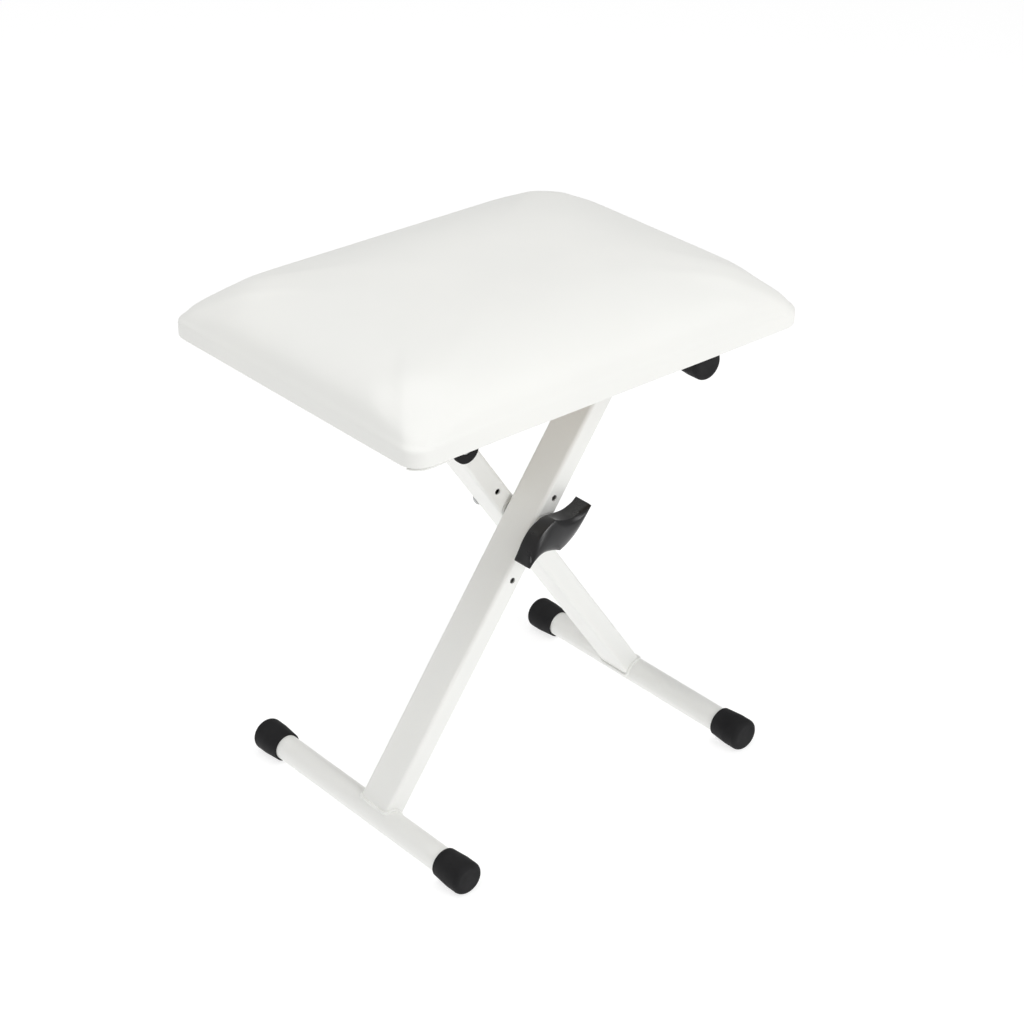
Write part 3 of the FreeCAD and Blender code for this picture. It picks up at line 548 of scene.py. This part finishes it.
def screw_head_mesh():
    """A pan head with a cross recess, its seat at z = 0 and its crown below."""
    work = bmesh.new()
    rows = []
    for radius, drop in HEAD_PROFILE:
        rows.append([work.verts.new((radius * MM * math.cos(math.tau * step / HEAD_STEPS),
                                     radius * MM * math.sin(math.tau * step / HEAD_STEPS), -drop * MM))
                     for step in range(HEAD_STEPS)])
    for lower, upper in zip(rows, rows[1:]):
        for index in range(HEAD_STEPS):
            after = (index + 1) % HEAD_STEPS
            work.faces.new((lower[index], lower[after], upper[after], upper[index]))
    work.faces.new(reversed(rows[0]))
    work.faces.new(rows[-1])
    head = bpy.data.objects.new("head", finish_mesh(work, "screw_head"))
    work = bmesh.new()
    for turn in (0.0, math.pi / 2):
        arm = bmesh.ops.create_cube(work, size=1.0)
        bmesh.ops.transform(work, verts=arm["verts"],
                            matrix=Matrix.Translation((0, 0, -HEAD_HEIGHT)) @ Matrix.Rotation(turn, 4, "Z")
                            @ Matrix.Diagonal((4.4 * MM, 1.0 * MM, 2.6 * MM, 1)))
    cross = bpy.data.objects.new("cross", finish_mesh(work, "cross"))
    for made in (head, cross):
        bpy.context.scene.collection.objects.link(made)
    recess = head.modifiers.new("recess", "BOOLEAN")
    recess.object, recess.operation = cross, "DIFFERENCE"
    recess.solver, recess.use_self = "EXACT", True
    apply_modifiers(head)
    mesh = head.data
    bpy.data.objects.remove(head)
    bpy.data.objects.remove(cross)
    return mesh


def build_screws(name, head_mesh, material):
    """Four screws in place of the plain ones, each turned as a driver happened to leave it."""
    low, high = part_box(name)
    seat_z = low.z + HEAD_HEIGHT
    work = bmesh.new()
    for x in (low.x + HEAD_RADIUS, high.x - HEAD_RADIUS):
        for y in (low.y + HEAD_RADIUS, high.y - HEAD_RADIUS):
            turn = Matrix.Rotation(random.uniform(0, 1.5), 4, "Z")
            spot = Matrix.Translation((x, y, seat_z)) @ turn
            head_mesh.transform(spot)
            work.from_mesh(head_mesh)
            head_mesh.transform(spot.inverted())
            shank = bmesh.ops.create_cone(work, segments=20, radius1=SHANK_RADIUS, radius2=SHANK_RADIUS,
                                          cap_ends=True, depth=high.z - seat_z)
            bmesh.ops.transform(work, verts=shank["verts"],
                                matrix=Matrix.Translation((x, y, (seat_z + high.z) / 2)))
    driven = name + "_driven"
    made = new_object(driven, finish_mesh(work, driven), "seat", material, smooth=False)
    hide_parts(name)


# Welds

TUBE_RADIUS = (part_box("hinge_tube")[1].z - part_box("hinge_tube")[0].z) / 2
LEG_HALF_WIDTH, LEG_CORNER = 9.5 * MM, 3 * MM
BEAD_RADIUS, BEAD_RIPPLE, BEAD_UNEVENNESS = 1.5, 0.16, 0.05
BEAD_PITCH = 2.3 * MM
BEAD_STEPS = 10


def build_weld(name, leg, tube, other_tube, material):
    """A rippled bead along the joint where a rectangular leg is coped onto a round tube."""
    low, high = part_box(leg)
    axis = middle(tube)
    toward = middle(other_tube) - axis
    toward = Vector((toward.x, 0, toward.z)).normalized()
    across = Vector((toward.z, 0, -toward.x))
    half_depth, proud = (high.y - low.y) / 2, 0.5 * MM
    rows = outline(LEG_HALF_WIDTH + proud, half_depth + proud, LEG_CORNER + proud, 60, 104, 12)
    centre = Vector((axis.x, (low.y + high.y) / 2, axis.z))
    path = [centre + across * at.x + Vector((0, at.y, 0))
            + toward * (math.sqrt(TUBE_RADIUS ** 2 - at.x ** 2) + 0.4 * MM) for at, _ in rows]
    work = bmesh.new()
    loops = []
    along = 0.0
    for index, point in enumerate(path):
        ahead, behind = path[(index + 1) % len(path)], path[index - 1]
        along += (point - behind).length if index else 0.0
        tangent = (ahead - behind).normalized()
        side = tangent.cross(toward).normalized()
        rise = side.cross(tangent)
        radius = (BEAD_RADIUS + BEAD_RIPPLE * math.sin(math.tau * along / BEAD_PITCH)
                  + random.uniform(-BEAD_UNEVENNESS, BEAD_UNEVENNESS)) * MM
        loops.append([work.verts.new(point + radius * (math.cos(math.tau * step / BEAD_STEPS) * side
                                                       + math.sin(math.tau * step / BEAD_STEPS) * rise))
                      for step in range(BEAD_STEPS)])
    for first, second in zip(loops, loops[1:] + loops[:1]):
        for step in range(BEAD_STEPS):
            after = (step + 1) % BEAD_STEPS
            work.faces.new((first[step], first[after], second[after], second[step]))
    body = "leg_a" if leg == "leg_a_tube" else "leg_b"
    new_object(name, finish_mesh(work, name), body, material)


# The knob: the upper side of its S, from the lower tip to the upper one, in millimetres from the
# bolt's line. It bends at the belly, and the lower side is the same curve turned half round.

KNOB_FRONT = (
    [(-33.0, -17.2), (-29.8, -8.8), (-24.6, 0.0), (-17.6, 6.9), (-8.4, 12.8), (-2.8, 15.2)],
    [(-2.8, 15.2), (1.8, 13.2), (6.6, 11.8), (12.6, 10.9), (18.6, 11.6), (25.6, 14.2), (33.2, 18.2)])
KNOB_BACK = (
    [(-33.0, -17.0), (-29.0, -10.0), (-24.4, -1.8), (-17.3, 5.9), (-8.3, 10.4), (-0.2, 12.2)],
    [(-0.2, 12.2), (5.0, 11.7), (10.1, 11.2), (15.4, 11.0), (20.8, 11.7), (28.3, 14.4), (33.2, 18.2)])
KNOB_STATIONS = (40, 32)
KNOB_DROP = 3.6 * MM
KNOB_HUB_HEIGHT = 3.4 * MM
KNOB_HUB_RADIUS = 9.4 * MM
KNOB_HUB_LAP = 1 * MM


def through(points, count):
    """A smooth curve through the points, as count even steps from the first to the last."""
    points = [Vector(point) for point in points]
    ends = [2 * points[0] - points[1]] + points + [2 * points[-1] - points[-2]]
    fine = []
    for before, first, second, after in zip(ends, ends[1:], ends[2:], ends[3:]):
        for step in range(24):
            s = step / 24
            fine.append(0.5 * (2 * first + (second - before) * s
                               + (2 * before - 5 * first + 4 * second - after) * s ** 2
                               + (3 * first - before - 3 * second + after) * s ** 3))
    fine.append(points[-1])
    lengths = [0.0]
    for first, second in zip(fine, fine[1:]):
        lengths.append(lengths[-1] + (second - first).length)
    marks = np.linspace(0, lengths[-1], count + 1)
    return [Vector((float(np.interp(mark, lengths, [point.x for point in fine])),
                    float(np.interp(mark, lengths, [point.y for point in fine])))) for mark in marks]


def knob_side(halves):
    first, second = [through(half, count) for half, count in zip(halves, KNOB_STATIONS)]
    return [point * MM for point in first + second[1:]]


def build_knob(material):
    """The S-shaped knob: convex backs, hollow flanks that twist a little, and a crowned face."""
    low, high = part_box("knob")
    bolt = middle("knob_insert")
    back_y, edge_y = high.y - KNOB_HUB_HEIGHT, low.y + KNOB_DROP
    front_upper, back_upper = knob_side(KNOB_FRONT), knob_side(KNOB_BACK)
    front_lower = [-point for point in reversed(front_upper)]
    back_lower = [-point for point in reversed(back_upper)]
    side_steps, face_steps = 6, 14
    work = bmesh.new()
    loops = []
    for upper, lower, deep_upper, deep_lower in zip(front_upper, front_lower, back_upper, back_lower):
        section = []
        for step in range(side_steps):
            share = step / side_steps
            section.append((deep_upper.lerp(upper, share), back_y + (edge_y - back_y) * share))
        for step in range(face_steps + 1):
            share = step / face_steps
            section.append((upper.lerp(lower, share), low.y + KNOB_DROP * (1 - 2 * share) ** 2))
        for step in range(1, side_steps + 1):
            share = step / side_steps
            section.append((lower.lerp(deep_lower, share), edge_y + (back_y - edge_y) * share))
        loops.append([work.verts.new((bolt.x + at.x, y, bolt.z + at.y)) for at, y in section])
    for first, second in zip(loops, loops[1:]):
        for index in range(len(first)):
            after = (index + 1) % len(first)
            work.faces.new((first[index], first[after], second[after], second[index]))
    work.faces.new(loops[0])
    work.faces.new(reversed(loops[-1]))
    hub_depth = KNOB_HUB_HEIGHT + KNOB_HUB_LAP
    hub = bmesh.ops.create_cone(work, segments=48, radius1=KNOB_HUB_RADIUS, radius2=KNOB_HUB_RADIUS,
                                cap_ends=True, depth=hub_depth)
    centre = Vector((bolt.x, high.y - hub_depth / 2, bolt.z))
    bmesh.ops.transform(work, verts=hub["verts"],
                        matrix=Matrix.Translation(centre) @ Matrix.Rotation(math.pi / 2, 4, "X"))
    made = new_object("knob_moulding", finish_mesh(work, "knob_moulding"), "knob", material)
    edge = made.modifiers.new("edge", "BEVEL")
    edge.width, edge.segments = 0.6 * MM, 3
    edge.limit_method, edge.angle_limit = "ANGLE", math.radians(35)
    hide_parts("knob")


add_stage()
add_camera()

vinyl = white_vinyl()
paint = powder_coat()
zinc = zinc_plate()
finishes = {"vinyl": vinyl, "foam": vinyl, "board": plywood(), "white_paint": paint, "zinc_steel": zinc,
            "rubber": black_rubber(), "knob_plastic": knob_plastic(),
            "bush_plastic": nylon("black_nylon", (0.02, 0.02, 0.021))}
for row in frame["record"]["subparts"]:
    part = nodes[row["node"]]
    part.data.materials.clear()
    part.data.materials.append(finishes[row["material_slot"]])
nodes["pivot_spacer"].data.materials[0] = nylon("pale_nylon", (0.6, 0.6, 0.58))

build_cushion(vinyl)
build_hem_fold(vinyl)
build_staples(zinc)
head_mesh = screw_head_mesh()
build_screws("ear_screws", head_mesh, zinc)
build_screws("rail_screws", head_mesh, zinc)
build_weld("weld_a_foot", "leg_a_tube", "leg_a_foot_tube", "leg_a_top_tube", paint)
build_weld("weld_a_top", "leg_a_tube", "leg_a_top_tube", "leg_a_foot_tube", paint)
build_weld("weld_b_foot", "leg_b_tube", "leg_b_foot_tube", "hinge_tube", paint)
build_weld("weld_b_top", "leg_b_tube", "hinge_tube", "leg_b_foot_tube", paint)
for name in ("hinge_ear_front", "hinge_ear_rear", "slide_rail_front", "slide_rail_rear"):
    soften(name, 0.3 * MM)
for name in ("hinge_bolt", "hinge_nut", "stop_bumper"):
    soften(name, 0.6 * MM, 3)
build_knob(finishes["knob_plastic"])
